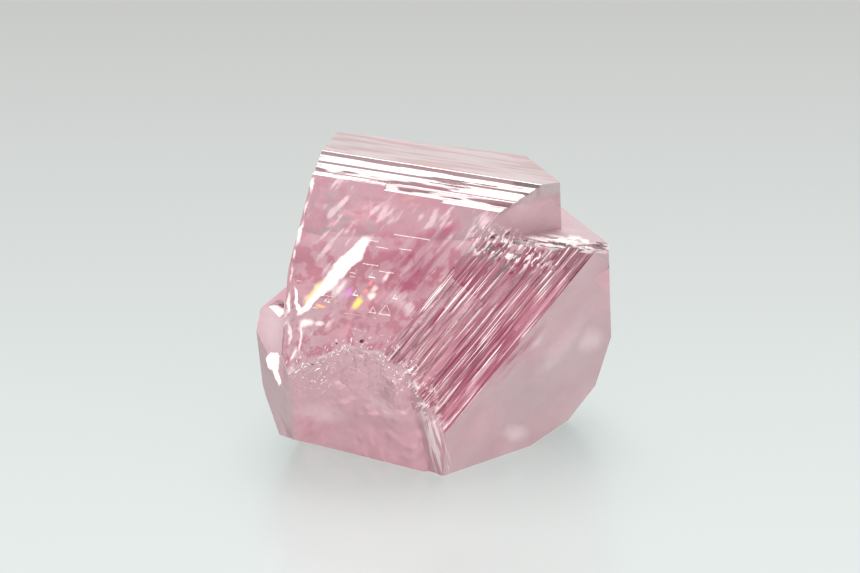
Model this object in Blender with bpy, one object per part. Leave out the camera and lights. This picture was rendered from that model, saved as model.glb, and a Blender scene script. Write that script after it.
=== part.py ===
"""Rough pink diamond: one octahedral crystal, stepped along its edges and broken at its lower left.

The crystal faces keep the octahedron's own angles. The broken faces are placed as they are seen from the
front. The stone lies on a flat break, on the plane Z = 0, with the origin under the middle of its box.
Sizes are millimetres while the stone is cut. The finished stone is scaled to metres.
"""

import math
import random

import bmesh
import bpy
from mathutils import Matrix, Vector, noise

NAME = "rough_diamond"
SEED = 20

# The front view looks down on the stone by this much.
VIEW_TILT = math.radians(20.0)

# How the crystal is turned: its front face leans back, faces a little left and is rolled clockwise.
FRONT_TURN = math.radians(-10.3)
FRONT_LEAN = math.radians(27.4)
FRONT_ROLL = math.radians(5.4)

# Crystal faces, each as its distance from the lowest front corner of the stone.
FRONT_AT = 3.63
TOP_AT = 10.2
RIGHT_AT = 0.08
SIDE_AT = 7.2
LEFT_AT = 4.22
BACK_AT = 5.4
REAR_LEFT_AT = 11.3

# The notch behind the right shoulder: its floor, its wall beside the main block and its end wall.
NOTCH_FLOOR_AT = 8.35
NOTCH_WALL_AT = -2.0
NOTCH_END_AT = 6.25

# Staircases of ledges: how many, and how far they eat into each of the two faces that they join.
TOP_LEDGES = 7
TOP_LEDGE_DEPTH = (0.92, 0.84)
TOP_SHORT_LEDGE_STARTS = (-0.9, -2.9)
DIAGONAL_LEDGES = 24
LEDGE_JITTER = 0.45
FADING_LEDGE_SHARE = 0.4
FADING_LEDGE_END = (2.0, 8.0)
FADE_SLOPE = 0.06

# Short ledges along the front of the notch's floor: where the row lies, and how deep each one bites.
SHOULDER_LEDGES = 9
SHOULDER_ROW = (1.7, 4.5)
SHOULDER_GAP = 0.12
SHOULDER_FRONT_DEPTH = (0.75, 2.5)
SHOULDER_FRONT_SPREAD = 0.18
SHOULDER_TOP_DEPTH = (0.12, 0.5)
SHOULDER_OVERLAP = 0.25
SHOULDER_LENGTH_SPREAD = (0.7, 1.3)

# The broken surface at the lower left, as a relief seen from the front: a slope with a fold across it.
BREAK_SPACING = 0.18
BREAK_SCATTER = 0.3
BREAK_SPAN = (-7.6, 1.6)
BREAK_RISE = (-1.4, 6.2)
BREAK_FOOT_UP = 0.9
BREAK_FOOT_OUT = -0.65
BREAK_SLOPE = 0.89
BREAK_FOLD_AT = -3.3
BREAK_FOLD_SLOPE = 0.42
BREAK_FOLD_ROUND = 0.4
BREAK_ROUGHNESS = 0.16
BREAK_ROUGH_SCALE = 1.1

# A groove runs down the break beside the right face's lower end.
GROOVE_TOP = (-0.50, 0.8)
GROOVE_LEAN = -0.23
GROOVE_DEPTH = 0.30
GROOVE_WIDTH = 0.22

# Shell-shaped ripples spread over the break from a point at its left end.
RIPPLE_FROM = (-5.9, 4.3)
RIPPLE_DEPTH = 0.05
RIPPLE_SPACING = 0.16
RIPPLE_REACH = 1.6

METRES_PER_MM = 0.001

# Larger than the stone in every direction.
REACH = 15.0
WELD = 0.002
CUT_TOLERANCE = 1e-6

PINK = (0.62, 0.27, 0.34, 1.0)


def seen(right: float, up: float, out: float) -> Vector:
    """A point or direction of the front view: to the right, up, and out toward the viewer."""
    return Vector(
        (
            right,
            up * math.sin(VIEW_TILT) - out * math.cos(VIEW_TILT),
            up * math.cos(VIEW_TILT) + out * math.sin(VIEW_TILT),
        )
    )


def crystal_normals() -> dict:
    """The outward normals of the octahedron's eight faces, by name."""
    front = Vector(
        (
            math.cos(FRONT_LEAN) * math.sin(FRONT_TURN),
            -math.cos(FRONT_LEAN) * math.cos(FRONT_TURN),
            math.sin(FRONT_LEAN),
        )
    )
    steepest = (Vector((0, 0, 1)) - front * front.z).normalized()
    tilt = math.acos(1 / 3)
    normals = {"front": front}
    for name, turn in (("top", 0.0), ("right", -120.0), ("left", 120.0)):
        across = Matrix.Rotation(math.radians(turn) - FRONT_ROLL, 3, front) @ steepest
        normals[name] = front * math.cos(tilt) + across * math.sin(tilt)
    normals["back"] = -normals["front"]
    normals["bottom"] = -normals["top"]
    normals["rear_left"] = -normals["right"]
    normals["side"] = -normals["left"]
    return normals


NORMAL = crystal_normals()


def break_plane(direction: float, recede: float, right: float, up: float, out: float) -> tuple:
    """A flat break through a point of the front view, in millimetres.

    Its outward normal points along direction, in degrees from the right, and away from the viewer by recede.
    """
    angle = math.radians(direction)
    back = math.radians(recede)
    normal = seen(math.cos(angle) * math.cos(back), math.sin(angle) * math.cos(back), -math.sin(back))
    return normal, normal.dot(seen(right, up, out))


# Flat breaks that close the stone where no crystal face does.
FLOOR = (Vector((0, 0, -1)), 0.0)
BREAKS = (
    FLOOR,
    break_plane(-104.0, 0.5, 0.0, 0.0, 0.0),
    break_plane(-57.0, 2.0, 3.0, 0.95, -2.7),
    break_plane(-38.0, 3.0, 4.55, 2.1, -3.0),
    break_plane(-15.0, 4.0, 5.36, 3.3, -2.6),
    break_plane(174.0, 14.0, -5.95, 4.7, -1.0),
    break_plane(192.0, 16.0, -6.08, 3.0, -1.2),
    break_plane(202.0, 18.0, -5.84, 1.8, -0.8),
)
REAR_TOP = (Vector((0.14, 0.88, 0.47)).normalized(), 9.6)

# The breaks beside the front face, and the two faces of the lobe that they leave standing.
LEFT_WALLS = (
    break_plane(166.3, 6.0, -4.63, 8.47, 1.79),
    break_plane(177.0, 12.0, -5.20, 4.87, 2.2),
)
LOBE_FRONT = (seen(-0.5, 0.35, 0.79).normalized(), 4.57)
LOBE_TOP = break_plane(129.0, 6.0, -5.6, 5.9, -0.4)


def outside(plane: tuple) -> tuple:
    """The same plane, kept on its other side: what a cutter removes."""
    normal, distance = plane
    return -normal, -distance


def face(name: str, distance: float) -> tuple:
    """A plane along one of the crystal's faces."""
    return NORMAL[name], distance


def edge_direction(first: str, second: str) -> Vector:
    """The direction of the edge between two faces, toward the right."""
    along = NORMAL[first].cross(NORMAL[second]).normalized()
    return along if along.x > 0 else -along


def block(planes: list) -> bmesh.types.BMesh:
    """A closed convex block: a large cube cut back to the inner side of each plane."""
    mesh = bmesh.new()
    bmesh.ops.create_cube(mesh, size=2 * REACH)
    for normal, distance in planes:
        cut = bmesh.ops.bisect_plane(
            mesh,
            geom=mesh.verts[:] + mesh.edges[:] + mesh.faces[:],
            dist=CUT_TOLERANCE,
            plane_co=normal * distance,
            plane_no=normal,
            clear_outer=True,
        )
        rim = [e for e in cut["geom_cut"] if isinstance(e, bmesh.types.BMEdge)]
        if rim:
            bmesh.ops.edgeloop_fill(mesh, edges=rim)
    bmesh.ops.recalc_face_normals(mesh, faces=mesh.faces)
    return mesh


def as_object(mesh: bmesh.types.BMesh, name: str, group: bpy.types.Collection) -> bpy.types.Object:
    """A bmesh as an object in a collection."""
    data = bpy.data.meshes.new(name)
    mesh.to_mesh(data)
    mesh.free()
    made = bpy.data.objects.new(name, data)
    group.objects.link(made)
    return made


def carve(stone: bpy.types.Object, cutter: bmesh.types.BMesh, group: bpy.types.Collection) -> None:
    """Cuts one closed shape out of the stone."""
    tool = as_object(cutter, "cutter", group)
    tool.hide_render = True
    tool.display_type = "WIRE"
    cut = stone.modifiers.new("cut", "BOOLEAN")
    cut.operation = "DIFFERENCE"
    cut.solver = "EXACT"
    cut.object = tool
    graph = bpy.context.evaluated_depsgraph_get()
    result = bpy.data.meshes.new_from_object(stone.evaluated_get(graph))
    stone.modifiers.clear()
    joined = bmesh.new()
    joined.from_mesh(result)
    bmesh.ops.remove_doubles(joined, verts=joined.verts, dist=WELD)
    bmesh.ops.dissolve_degenerate(joined, edges=joined.edges, dist=WELD)
    joined.to_mesh(result)
    joined.free()
    old = stone.data
    stone.data = result
    bpy.data.meshes.remove(old)
    bpy.data.objects.remove(tool)


def staircase(count: int, first: tuple, second: tuple, chance: random.Random) -> list:
    """Inner corners of a flight of ledges between two faces, as distances along each face's normal.

    first and second give each face's distance at the flight's start and end.
    """
    steps = [1 + LEDGE_JITTER * chance.uniform(-1, 1) for _ in range(count)]
    total = sum(steps)
    corners = []
    done = 0.0
    for step in steps:
        low = second[0] + (second[1] - second[0]) * done / total
        done += step
        high = first[0] + (first[1] - first[0]) * done / total
        corners.append((high, low))
    return corners


def cut_top_ledges(stone: bpy.types.Object, group: bpy.types.Collection, chance: random.Random) -> None:
    """Ledges between the front face and the top, deeper toward the right end."""
    along = edge_direction("front", "top")
    front_end = FRONT_AT - TOP_LEDGE_DEPTH[0]
    top_start = TOP_AT - TOP_LEDGE_DEPTH[1]
    corners = staircase(TOP_LEDGES, (FRONT_AT, front_end), (top_start, TOP_AT), chance)
    for number, (front_at, top_at) in enumerate(corners):
        planes = [outside(face("front", front_at)), outside(face("top", top_at))]
        if number < len(TOP_SHORT_LEDGE_STARTS):
            # The lowest ledges run out before the left end, where the band is narrow.
            planes.append(outside((along, TOP_SHORT_LEDGE_STARTS[number])))
        carve(stone, block(planes), group)


def cut_diagonal_ledges(stone: bpy.types.Object, group: bpy.types.Collection, chance: random.Random) -> None:
    """The wide flight of ledges between the front face and the right face. Some fade out toward its top."""
    along = edge_direction("front", "right")
    both = NORMAL["front"] + NORMAL["right"]
    drop = RIGHT_AT - NOTCH_WALL_AT
    corners = staircase(DIAGONAL_LEDGES, (FRONT_AT, FRONT_AT - drop), (NOTCH_WALL_AT, RIGHT_AT), chance)
    for front_at, right_at in corners:
        planes = [outside(face("front", front_at)), outside(face("right", right_at))]
        if chance.random() < FADING_LEDGE_SHARE:
            fade = along * FADE_SLOPE - both.normalized()
            reach = FADE_SLOPE * chance.uniform(*FADING_LEDGE_END) - (front_at + right_at) / both.length
            planes.append((fade.normalized(), reach / fade.length))
        carve(stone, block(planes), group)


def cut_shoulder(stone: bpy.types.Object, group: bpy.types.Collection, chance: random.Random) -> None:
    """Short ledges along the front of the notch's floor."""
    along = edge_direction("front", "top")
    length = (SHOULDER_ROW[1] - SHOULDER_ROW[0]) / SHOULDER_LEDGES
    shallow, deep = SHOULDER_FRONT_DEPTH
    for number in range(SHOULDER_LEDGES):
        start = SHOULDER_ROW[0] + number * length
        share = (number + 0.5) / SHOULDER_LEDGES
        front_at = FRONT_AT - (shallow + (deep - shallow) * share + SHOULDER_FRONT_SPREAD * chance.random())
        top_at = NOTCH_FLOOR_AT - chance.uniform(*SHOULDER_TOP_DEPTH)
        planes = [
            outside(face("front", front_at)),
            outside(face("top", top_at)),
            outside(face("right", NOTCH_WALL_AT + SHOULDER_GAP)),
            outside((along, start - SHOULDER_OVERLAP * chance.random())),
            (along, start + length * chance.uniform(*SHOULDER_LENGTH_SPREAD)),
        ]
        carve(stone, block(planes), group)


def break_depth(right: float, up: float) -> float:
    """How far out the broken surface stands at a place of the front view."""
    fold = math.hypot(right - BREAK_FOLD_AT, BREAK_FOLD_ROUND)
    trend = BREAK_FOOT_OUT + BREAK_SLOPE * (up - BREAK_FOOT_UP) + BREAK_FOLD_SLOPE * fold
    groove_at = GROOVE_TOP[0] + GROOVE_LEAN * (up - GROOVE_TOP[1])
    groove = -GROOVE_DEPTH * math.exp(-(((right - groove_at) / GROOVE_WIDTH) ** 2))
    ring = math.hypot(right - RIPPLE_FROM[0], up - RIPPLE_FROM[1])
    ripple = RIPPLE_DEPTH * math.sin(ring / RIPPLE_SPACING) * math.exp(-ring / RIPPLE_REACH)
    place = Vector((right, up, 0.0))
    rough = BREAK_ROUGHNESS * noise.fractal(place * BREAK_ROUGH_SCALE, 0.9, 2.1, 4)
    return trend + groove + ripple + rough


def break_cutter() -> bmesh.types.BMesh:
    """Everything in front of the broken surface, as a closed slab."""
    mesh = bmesh.new()
    width = BREAK_SPAN[1] - BREAK_SPAN[0]
    height = BREAK_RISE[1] - BREAK_RISE[0]
    bmesh.ops.create_grid(
        mesh,
        x_segments=round(width / BREAK_SPACING),
        y_segments=round(height / BREAK_SPACING),
        size=0.5,
    )
    chance = random.Random(SEED + 1)
    sheet = mesh.faces[:]
    for vert in mesh.verts:
        right = BREAK_SPAN[0] + (vert.co.x + 0.5) * width
        up = BREAK_RISE[0] + (vert.co.y + 0.5) * height
        right += BREAK_SPACING * BREAK_SCATTER * chance.uniform(-1, 1)
        up += BREAK_SPACING * BREAK_SCATTER * chance.uniform(-1, 1)
        vert.co = seen(right, up, break_depth(right, up))
    bmesh.ops.triangulate(mesh, faces=sheet)
    pulled = bmesh.ops.extrude_face_region(mesh, geom=mesh.faces[:], use_keep_orig=True)
    moved = [v for v in pulled["geom"] if isinstance(v, bmesh.types.BMVert)]
    bmesh.ops.translate(mesh, verts=moved, vec=seen(0, 0, REACH))
    bmesh.ops.recalc_face_normals(mesh, faces=mesh.faces)
    return mesh


def clean(stone: bpy.types.Object) -> None:
    """Joins what the cuts left doubled and puts the origin under the middle of the box."""
    mesh = bmesh.new()
    mesh.from_mesh(stone.data)
    bmesh.ops.remove_doubles(mesh, verts=mesh.verts, dist=WELD)
    bmesh.ops.dissolve_degenerate(mesh, edges=mesh.edges, dist=WELD)
    bmesh.ops.triangulate(mesh, faces=mesh.faces)
    low = Vector([min(v.co[axis] for v in mesh.verts) for axis in range(3)])
    high = Vector([max(v.co[axis] for v in mesh.verts) for axis in range(3)])
    middle = (low + high) / 2
    bmesh.ops.translate(mesh, verts=mesh.verts, vec=(-middle.x, -middle.y, -low.z))
    bmesh.ops.scale(mesh, verts=mesh.verts, vec=[METRES_PER_MM] * 3)
    bmesh.ops.recalc_face_normals(mesh, faces=mesh.faces)
    mesh.to_mesh(stone.data)
    mesh.free()


def pink_crystal() -> bpy.types.Material:
    """Clear pink crystal."""
    material = bpy.data.materials.new("pink_crystal")
    material.use_nodes = True
    shader = material.node_tree.nodes["Principled BSDF"]
    shader.inputs["Base Color"].default_value = PINK
    shader.inputs["Roughness"].default_value = 0.03
    shader.inputs["Metallic"].default_value = 0.0
    shader.inputs["IOR"].default_value = 2.417
    shader.inputs["Transmission Weight"].default_value = 1.0
    return material


def build_stone(parts: bpy.types.Collection, cutters: bpy.types.Collection) -> bpy.types.Object:
    """The whole stone: a faceted block, then its notch, ledges and breaks."""
    chance = random.Random(SEED)
    hull = [
        face("front", FRONT_AT),
        face("top", TOP_AT),
        face("right", RIGHT_AT),
        face("side", SIDE_AT),
        face("left", LEFT_AT),
        face("back", BACK_AT),
        face("rear_left", REAR_LEFT_AT),
        REAR_TOP,
    ]
    stone = as_object(block(hull + list(BREAKS)), NAME, parts)
    above = outside(face("top", NOTCH_FLOOR_AT))
    carve(stone, block([above, outside(face("right", NOTCH_WALL_AT))]), cutters)
    carve(stone, block([above, outside(face("side", NOTCH_END_AT))]), cutters)
    for wall in LEFT_WALLS:
        for stop in (LOBE_FRONT, LOBE_TOP):
            carve(stone, block([outside(wall), outside(stop)]), cutters)
    cut_diagonal_ledges(stone, cutters, chance)
    cut_top_ledges(stone, cutters, chance)
    cut_shoulder(stone, cutters, chance)
    carve(stone, break_cutter(), cutters)
    clean(stone)
    stone.data.materials.clear()
    stone.data.materials.append(pink_crystal())
    return stone


def main() -> None:
    """Clears the scene and builds the stone."""
    for item in list(bpy.data.objects):
        bpy.data.objects.remove(item)
    parts = bpy.data.collections.new(NAME + "_parts")
    cutters = bpy.data.collections.new("cutters")
    bpy.context.scene.collection.children.link(parts)
    bpy.context.scene.collection.children.link(cutters)
    build_stone(parts, cutters)


main()
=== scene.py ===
"""Rough pink diamond: the finished look of one octahedral crystal on a pale table.

The stone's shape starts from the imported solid. Growth lines, triangular pits, finer ledges and the grain of the
broken corner are added in millimetres, measured from the stone's lowest front corner, and the result is put back
at the solid's own place in metres.
"""

import logging
import math
import random
from dataclasses import dataclass, field
from enum import Enum

import bmesh
import bpy
from mathutils import Matrix, Vector, noise
from mathutils.bvhtree import BVHTree

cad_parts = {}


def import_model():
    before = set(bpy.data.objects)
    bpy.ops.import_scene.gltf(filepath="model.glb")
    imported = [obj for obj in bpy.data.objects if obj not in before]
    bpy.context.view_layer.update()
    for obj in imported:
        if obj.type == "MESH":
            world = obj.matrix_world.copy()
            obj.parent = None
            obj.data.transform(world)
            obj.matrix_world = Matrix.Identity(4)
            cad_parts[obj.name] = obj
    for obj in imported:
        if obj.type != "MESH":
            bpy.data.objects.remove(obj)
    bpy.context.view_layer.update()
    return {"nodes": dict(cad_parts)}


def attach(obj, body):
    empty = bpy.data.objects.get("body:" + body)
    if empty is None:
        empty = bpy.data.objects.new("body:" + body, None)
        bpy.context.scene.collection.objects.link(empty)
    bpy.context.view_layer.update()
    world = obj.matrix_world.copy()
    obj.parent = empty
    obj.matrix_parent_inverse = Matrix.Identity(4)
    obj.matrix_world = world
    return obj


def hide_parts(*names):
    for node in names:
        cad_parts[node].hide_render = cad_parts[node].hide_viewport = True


log = logging.getLogger("rough_pink_diamond")

NODE = "rough_diamond"
BODY = "root"
MM = 0.001
VIEW_TILT = math.radians(20.0)


class FaceName(Enum):
    """The octahedron's faces that the finish refers to."""

    FRONT = "front"
    TOP = "top"
    RIGHT = "right"
    LEFT = "left"


def seen(right: float, up: float, out: float) -> Vector:
    """Gives a point or direction of the front view, right, up and toward the viewer, in the stone's own axes."""
    sine, cosine = math.sin(VIEW_TILT), math.cos(VIEW_TILT)
    return Vector((right, up * sine - out * cosine, up * cosine + out * sine))


TOWARD = seen(0, 0, 1)
UPWARD = seen(0, 1, 0)


def lowest_front_corner(places: list[Vector], slack: float) -> Vector:
    """Finds the corner of a shape's foot that is nearest the viewer.

    Args:
        places: The shape's corners.
        slack: How much higher than the lowest one a corner of the foot may be.

    Returns:
        A copy of that corner.
    """
    limit = min(place.z for place in places) + slack
    return min((place for place in places if place.z < limit), key=lambda place: place.y).copy()


def as_object(mesh: bmesh.types.BMesh, name: str) -> bpy.types.Object:
    """Turns a mesh into an object of the scene, and frees it.

    Args:
        mesh: The mesh.
        name: The object's name.

    Returns:
        The object, at the origin.
    """
    data = bpy.data.meshes.new(name)
    mesh.to_mesh(data)
    mesh.free()
    made = bpy.data.objects.new(name, data)
    bpy.context.scene.collection.objects.link(made)
    return made


@dataclass(frozen=True)
class CrystalAxes:
    """How the crystal is turned, and where its large faces stand, in millimetres from the lowest front corner."""

    turn: float = math.radians(-10.3)
    lean: float = math.radians(27.4)
    roll: float = math.radians(5.4)
    front_at: float = 3.63
    top_at: float = 10.2
    right_at: float = 0.08

    @property
    def front(self) -> Vector:
        """Gives the front face's outward normal."""
        level = math.cos(self.lean)
        return Vector((level * math.sin(self.turn), -level * math.cos(self.turn), math.sin(self.lean)))

    def normal(self, name: FaceName) -> Vector:
        """Gives a face's outward normal.

        Args:
            name: The face.

        Returns:
            Its unit normal.
        """
        front = self.front
        if name is FaceName.FRONT:
            return front
        steepest = (Vector((0, 0, 1)) - front * front.z).normalized()
        quarter = {FaceName.TOP: 0.0, FaceName.RIGHT: -120.0, FaceName.LEFT: 120.0}[name]
        across = Matrix.Rotation(math.radians(quarter) - self.roll, 3, front) @ steepest
        tilt = math.acos(1 / 3)
        return front * math.cos(tilt) + across * math.sin(tilt)

    def edge(self, first: FaceName, second: FaceName) -> Vector:
        """Gives the direction of the edge between two faces, toward the right."""
        along = self.normal(first).cross(self.normal(second)).normalized()
        return along if along.x > 0 else -along

    def band(self, side: FaceName) -> tuple[Vector, Vector, Vector]:
        """Gives the directions of the ledges between the front face and a neighbour.

        Args:
            side: The neighbour.

        Returns:
            The directions along the ledges, across them, and outward.
        """
        along = self.edge(FaceName.FRONT, side)
        mean = (self.front + self.normal(side)).normalized()
        return along, mean.cross(along).normalized(), mean

    def on_front(self, right: float, up: float) -> Vector:
        """Gives the point of the front face that the front view sees at a place."""
        start = seen(right, up, 0)
        return start + TOWARD * ((self.front_at - self.front.dot(start)) / self.front.dot(TOWARD))


class Wire:
    """A node's socket whose arithmetic adds Math nodes."""

    def __init__(self, sheet: "NodeSheet", socket: bpy.types.NodeSocket) -> None:
        """Keeps the socket and the sheet that it is on."""
        self.sheet = sheet
        self.socket = socket

    def __add__(self, other: "Wire | float") -> "Wire":
        """Adds."""
        return self.sheet.maths("ADD", self, other)

    def __radd__(self, other: float) -> "Wire":
        """Adds to a number."""
        return self.sheet.maths("ADD", other, self)

    def __sub__(self, other: "Wire | float") -> "Wire":
        """Takes away."""
        return self.sheet.maths("SUBTRACT", self, other)

    def __rsub__(self, other: float) -> "Wire":
        """Takes this away from a number."""
        return self.sheet.maths("SUBTRACT", other, self)

    def __mul__(self, other: "Wire | float") -> "Wire":
        """Multiplies."""
        return self.sheet.maths("MULTIPLY", self, other)

    def __rmul__(self, other: float) -> "Wire":
        """Multiplies a number."""
        return self.sheet.maths("MULTIPLY", other, self)


def opaque(colour: "Wire | tuple") -> "Wire | tuple":
    """Gives a colour of three numbers its fourth."""
    return colour if isinstance(colour, Wire) else (*colour, 1.0)


class NodeSheet:
    """The nodes of one material."""

    def __init__(self, name: str) -> None:
        """Makes an empty material of that name."""
        self.material = bpy.data.materials.new(name)
        self.material.use_nodes = True
        self.tree = self.material.node_tree
        self.tree.nodes.clear()

    def node(self, kind: str, settings: dict | None = None, sockets: dict | None = None, output: int | str = 0) -> Wire:
        """Adds a node.

        Args:
            kind: The node's type.
            settings: Its properties, set first.
            sockets: Values or wires for its inputs, by name or number.
            output: The output that the wire comes from.

        Returns:
            The wire from that output.
        """
        made = self.tree.nodes.new(kind)
        for name, value in (settings or {}).items():
            setattr(made, name, value)
        for key, value in (sockets or {}).items():
            if isinstance(value, Wire):
                self.tree.links.new(value.socket, made.inputs[key])
            else:
                made.inputs[key].default_value = value
        return Wire(self, made.outputs[output])

    def maths(self, operation: str, first: "Wire | float", second: "Wire | float" = 0.0, clamp: bool = False) -> Wire:
        """Adds a Math node, which may keep its result from 0 to 1."""
        return self.node("ShaderNodeMath", {"operation": operation, "use_clamp": clamp}, {0: first, 1: second})

    def finish(self, surface: Wire, volume: Wire | None = None) -> None:
        """Leads the results to the material's output.

        Args:
            surface: The surface shader.
            volume: The volume shader, if there is one.
        """
        out = self.tree.nodes.new("ShaderNodeOutputMaterial")
        self.tree.links.new(surface.socket, out.inputs["Surface"])
        if volume:
            self.tree.links.new(volume.socket, out.inputs["Volume"])

    def step(self, value: Wire, low: float, high: float) -> Wire:
        """Gives a soft step, 0 on the low side and 1 on the high side; low above high makes it fall."""
        limits = {"Value": value, "From Min": low, "From Max": high}
        return self.node("ShaderNodeMapRange", {"interpolation_type": "SMOOTHSTEP"}, limits)

    def dot(self, place: Wire, direction: Vector) -> Wire:
        """Gives how far a place lies along a direction."""
        sockets = {0: place, 1: tuple(direction)}
        return self.node("ShaderNodeVectorMath", {"operation": "DOT_PRODUCT"}, sockets, "Value")

    def vector(self, x: "Wire | float", y: "Wire | float", z: "Wire | float") -> Wire:
        """Joins three values into a vector."""
        return self.node("ShaderNodeCombineXYZ", None, {"X": x, "Y": y, "Z": z})

    def noise(self, place: Wire, scale: float, detail: float = 2.0, flat: bool = False) -> Wire:
        """Gives smooth noise round 0.5, in space or, when flat, over the place's first two values."""
        settings = {"noise_dimensions": "2D" if flat else "3D"}
        return self.node("ShaderNodeTexNoise", settings, {"Vector": place, "Scale": scale, "Detail": detail})

    def blend(self, share: Wire, first: "Wire | tuple", second: tuple) -> Wire:
        """Mixes two colours by the share of the second."""
        settings = {"data_type": "RGBA", "blend_type": "MIX", "clamp_factor": True}
        return self.node("ShaderNodeMix", settings, {0: share, 6: opaque(first), 7: opaque(second)}, 2)

    def grid(self, plane: Wire, across: Vector, along: Vector) -> Wire:
        """Gives how far a place lies along two directions, whose lengths set the scale."""
        return self.vector(self.dot(plane, across), self.dot(plane, along), 0.0)

    def patches(self, plane: Wire, patches: tuple) -> Wire:
        """Gives soft oval patches.

        Args:
            plane: How far right and up each point lies.
            patches: Each patch as right, up, half length, half width, angle in degrees, softness and strength.

        Returns:
            The strongest patch at each point.
        """
        total = None
        turned: dict[float, Wire] = {}
        for right, up, length, width, angle, soft, strength in patches:
            bearing = math.radians(angle)
            along = Vector((math.cos(bearing), math.sin(bearing), 0.0))
            across = Vector((-math.sin(bearing), math.cos(bearing), 0.0))
            if angle not in turned:
                turned[angle] = self.grid(plane, along, across)
            middle = Vector((right, up, 0.0))
            scale = (1.0 / length, 1.0 / width, 0.0)
            shift = (-along.dot(middle) / length, -across.dot(middle) / width, 0.0)
            sockets = {0: turned[angle], 1: scale, 2: shift}
            local = self.node("ShaderNodeVectorMath", {"operation": "MULTIPLY_ADD"}, sockets)
            reach = self.node("ShaderNodeVectorMath", {"operation": "LENGTH"}, {0: local}, "Value")
            limits = {"Value": reach, "From Min": 1.0 + soft, "From Max": 1.0 - soft, "To Max": strength}
            mask = self.node("ShaderNodeMapRange", {"interpolation_type": "SMOOTHSTEP"}, limits)
            total = mask if total is None else self.maths("MAXIMUM", total, mask)
        return total


@dataclass
class Cutter:
    """A set of small closed shapes that are cut out of the stone together."""

    mesh: bmesh.types.BMesh = field(default_factory=bmesh.new)

    def add(self, middle: Vector, size: float, planes: list[tuple[Vector, Vector]]) -> None:
        """Adds one convex shape: a cube cut back by planes.

        Args:
            middle: The cube's middle.
            size: The cube's side.
            planes: Each plane as a point and its outward normal.
        """
        shape = bmesh.new()
        bmesh.ops.create_cube(shape, size=size, matrix=Matrix.Translation(middle))
        for point, normal in planes:
            cut = bmesh.ops.bisect_plane(
                shape,
                geom=shape.verts[:] + shape.edges[:] + shape.faces[:],
                dist=1e-6,
                plane_co=point,
                plane_no=normal,
                clear_outer=True,
            )
            rim = [e for e in cut["geom_cut"] if isinstance(e, bmesh.types.BMEdge)]
            if rim:
                bmesh.ops.edgeloop_fill(shape, edges=rim)
        bmesh.ops.recalc_face_normals(shape, faces=shape.faces)
        held = bpy.data.meshes.new("cutter_part")
        shape.to_mesh(held)
        shape.free()
        self.mesh.from_mesh(held)
        bpy.data.meshes.remove(held)


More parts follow.
